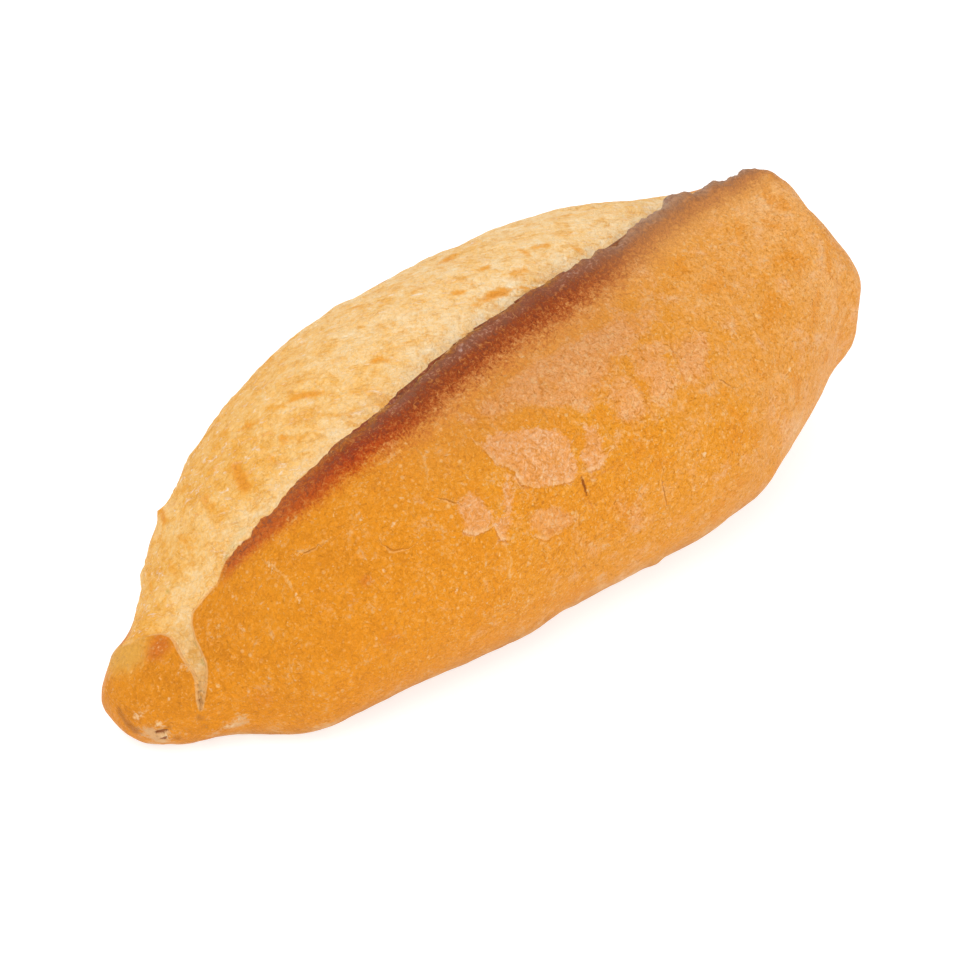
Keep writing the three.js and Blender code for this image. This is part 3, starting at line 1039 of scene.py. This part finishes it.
# %% The burst crumb
follow({
    "to_knob": ("along", 0.0, -90.0, 1.0),
    "near_ear": ("past_ear", 14.0, 3.0, 1.0),
    "ochre": [0.36, ("to_knob", 0.2), ("near_ear", -0.14), ("waves", 0.12), ("mottle", 0.18),
              ("fibres", 0.13), ("grain", 0.12), ("fine", 0.09)],
    "strand_share": ("patchy", -0.6, 0.5, 0.6),
    "stranding": ("strands", 0.15, 0.75, "strand_share"),
    "wrinkle_line": [0.0, ("wrinkles", "wrinkles")],
    "wrinkle_share": ("mottle", -0.3, 0.6, 0.55),
    "wrinkling": ("wrinkle_line", 0.03, 0.0, "wrinkle_share"),
    # A painted sheen: very pale cream along the crumb's fibres, in broad patches.
    "sheen_share": ("waves", -0.6, 0.5, 0.75),
    "fibre_painted_sheen": ("fibres", 0.1, 0.8, "sheen_share"),
    "toast": [0.0, ("toasted", 1.0), ("fibres", 0.25), ("mottle", 0.25), ("grain", 0.12)],
    "toast_halo": ("toast", 0.1, 0.6, 0.6),
    "toasting": ("toast", 0.35, 1.0, 0.75),
    "toast_core": ("toast", 0.85, 1.35, 0.6),
    "specking": ("grain", -0.75, -1.15, 0.45),
    "grey": [0.0, ("greyed", 0.8), ("mottle", 0.3)],
    "greying": ("grey", 0.15, 0.9, 0.6),
    # Olive, in part painted shade down the knob's tear.
    "olive_tint": [0.0, ("olive_and_shade_spots", 1.0), ("grain", 0.2)],
    "oliving_and_shade": ("olive_tint", 0.25, 0.9, 0.6),
    # Painted shade on the crumb down the trough of the knob's tear.
    "torn": [0.0, ("deep_tear", 1.0), ("mottle", 0.25)],
    "tear_painted_shade": ("torn", 0.3, 1.0, 0.4),
    "soft_width": [0.3, ("soft_edge", 2.5)],
    "minus_width": [-0.3, ("soft_edge", -2.5)],
    "jag": [0.25, ("soft_edge", 1.6)],
    "crumb_edge": [0.0, ("crumb_depth", 1.0), ("grain", "jag"), ("fine", 0.1)],
    "crumb": ("crumb_edge", "minus_width", "soft_width", 1.0),
    "sharp_tear": ("soft_edge", 0.25, 0.08, 0.6),
    "rim_at": ("along", -100.0, -108.0, "sharp_tear"),
    "rim_out": ("crumb_depth", -0.9, -0.4, "rim_at"),
    "rimming": ("crumb_depth", 0.1, -0.15, "rim_out"),
    "floury": [0.5, ("mottle", 0.35), ("waves", 0.2)],
})

# %% [markdown]
# ## Colours
# Ramps turn a number into the run of colours that the real crust goes through as it browns. The
# coats then follow in the order in which they lie: golden skin first, the crumb over it last.

# %% Ramps of colour
RAMPS = {
    "golden_skin": ("golden", [
        (0.0, "#cc7a18"), (0.2, "#e38d19"), (0.38, "#e69422"), (0.52, "#e69839"),
        (0.68, "#eaa352"), (0.84, "#edae6b"), (1.0, "#f4c48f"),
    ]),
    "bare_skin": ("flecked_grain", [(0.15, "#d88b49"), (0.5, "#e9a46b"), (0.85, "#f6c9a0")]),
    "red_ear": ("scorch", [
        (0.0, "#a4602a"), (0.06, "#ac5a1c"), (0.16, "#983a10"), (0.3, "#963208"),
        (0.44, "#ae400a"), (0.62, "#ba4c0a"), (0.95, "#da8420"),
    ]),
    "dark_ear": ("scorch", [
        (0.0, "#b07834"), (0.07, "#a05e2a"), (0.15, "#8c4a2e"), (0.26, "#8a3c18"),
        (0.4, "#984010"), (0.55, "#ac541e"), (0.75, "#c27238"), (0.95, "#d88c4c"),
    ]),
    "pale_ear": ("scorch", [
        (0.0, "#b89a84"), (0.06, "#b49076"), (0.16, "#b0825e"), (0.28, "#b67846"),
        (0.42, "#c68044"), (0.65, "#d8934a"), (0.95, "#e6a45a"),
    ]),
    "crumb_colour": ("ochre", [
        (0.0, "#fde8c4"), (0.25, "#fbd69e"), (0.5, "#f8c271"), (0.7, "#f0ac48"),
        (1.0, "#de8c26"),
    ]),
    "floured_base": ("floury", [(0.3, "#b9772f"), (0.55, "#c98d48"), (0.75, "#dcb888")]),
}
follow({"flecked_grain": [0.48, ("grain", 0.3), ("fine", 0.18), ("mottle", 0.14)]})
for name, (source, stops) in RAMPS.items():
    made = add(tree, "ShaderNodeValToRGB", {"Fac": told[source]})
    bar = made.color_ramp
    while len(bar.elements) < len(stops):
        bar.elements.new(0.5)
    for element, (spot, colour) in zip(bar.elements, stops):
        element.position = spot
        element.color = linear(colour)
    told[name] = made
print("ramps:", ", ".join(RAMPS))

# %% Coats of colour
# Each coat: the number that says how thick it is, and its colour, its ramp or its finish.
LOAF_COATS = [
    # Among these coats are painted light and shade: the fine light and dark specks, part of the
    # pale flecks, a shadow below flake edges and the dark inside gaping cracks.
    ("deepening", "#e38c1e"), ("wearing", "bare_skin"), ("blushing", "#cf6c22"),
    ("dark_speck", "#b36a1e"), ("light_speck", "#f6b866"), ("fine_painted_shade", "#a8621a"),
    ("fine_painted_highlight", "#fabf70"), ("worming", "#f5c47e"), ("blistering", "#f8cb83"),
    ("big_blistering", "#f8cf90"), ("streaking", "#f3c07c"), ("thinning", "bare_skin"),
    ("flaking", "bare_skin"), ("edge_light", "#f3c48e"), ("edge_painted_shadow", "#b9661c"),
    ("haze", "#c07a42"), ("paling", "#e2ab50"), ("dusting", "#deb07c"), ("flecking_and_highlights", "#f4d3a2"),
    ("branching", "#cc7628"), ("crack_lip", "#f3c080"), ("cracking", "#a25a1c"),
    ("gap_painted_shade", "#8a4416"), ("singeing", "#a8601a"), ("heating", "ear"),
    ("rimming", "#f6c888"), ("crumb", "crumb"), ("underneath", "floured_base"),
]
EAR_COATS = [
    # The two greyish coats here are the painted highlight along the ear's ridge.
    ("left_end", "#ca661e"), ("to_dark", "dark_ear"), ("ridge_highlight_half", "#a07460"),
    ("ear_dark", "#642a10"), ("to_pale", "pale_ear"), ("edge_dark", "#8c5c44"),
    ("ear_light", "#cc8846"), ("ear_fine", "#d2945a"), ("ridge_highlight_speck", "#b8968c"),
]
CRUMB_COATS = [
    # Painted light among these coats: a sheen along the fibres, shade down the tear's trough, and
    # the olive coat in part.
    ("stranding", "#f0a742"), ("greying", "#e8d3a2"), ("fibre_painted_sheen", "#fdebd2"),
    ("wrinkling", "#e2983a"), ("toast_halo", "#f3ac44"), ("toasting", "#ec9426"),
    ("toast_core", "#cc7a22"), ("specking", "#c08646"), ("tear_painted_shade", "#cc984e"),
    ("oliving_and_shade", "#b89a42"),
]
# Each finish: the ramp at its bottom and the coats over it. The loaf's own is laid last.
FINISHES = {
    "ear": ("red_ear", EAR_COATS),
    "crumb": ("crumb_colour", CRUMB_COATS),
    "loaf": ("golden_skin", LOAF_COATS),
}
finishes = {}
for finish, (first, coats) in FINISHES.items():
    colour = told[first].outputs["Color"]
    for share, paint in coats:
        over = finishes.get(paint) or told.get(paint) or linear(paint)
        mixed = add(tree, MIX, {
            "Factor_Float": told[share], "A_Color": colour, "B_Color": over,
        }, data_type="RGBA")
        colour = next(s for s in mixed.outputs if s.enabled)
    finishes[finish] = colour
tree.links.new(finishes["loaf"], skin.inputs["Base Color"])
print("coats:", {finish: len(coats) for finish, (_, coats) in FINISHES.items()})

# %% Shine and fine relief
# Dry crust is almost matt: a baked skin of starch keeps a little shine, crumb has next to none.
CRUST_ROUGHNESS, CRUMB_ROUGHNESS = 0.48, 0.75
STARCH_IOR, STARCH_SHINE = 1.45, 0.13
PIMPLE_HEIGHT, PIMPLE_STRENGTH = 0.7 * MM, 0.8

follow({
    "matt": ("crumb_share", 0.0, 1.0, CRUMB_ROUGHNESS - CRUST_ROUGHNESS),
    "roughness": [CRUST_ROUGHNESS, ("matt", 1.0)],
    "crumb_fibres": [0.0, ("fibres", "crumb_share")],
    "pimples": [0.0, ("grain", 0.5), ("blistering", 0.5), ("crumb_fibres", 0.35), ("fine", 0.12)],
})
tree.links.new(told["roughness"].outputs[0], skin.inputs["Roughness"])
skin.inputs["IOR"].default_value = STARCH_IOR
skin.inputs["Specular IOR Level"].default_value = STARCH_SHINE
bump = add(tree, "ShaderNodeBump", {
    "Height": told["pimples"], "Strength": PIMPLE_STRENGTH, "Distance": PIMPLE_HEIGHT,
})
tree.links.new(bump.outputs["Normal"], skin.inputs["Normal"])
crust.data.materials.append(baked)
print("baked_wheat_crust:", len(tree.nodes), "nodes")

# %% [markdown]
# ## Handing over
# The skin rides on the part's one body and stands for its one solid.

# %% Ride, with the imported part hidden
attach(crust, "root")
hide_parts("loaf")
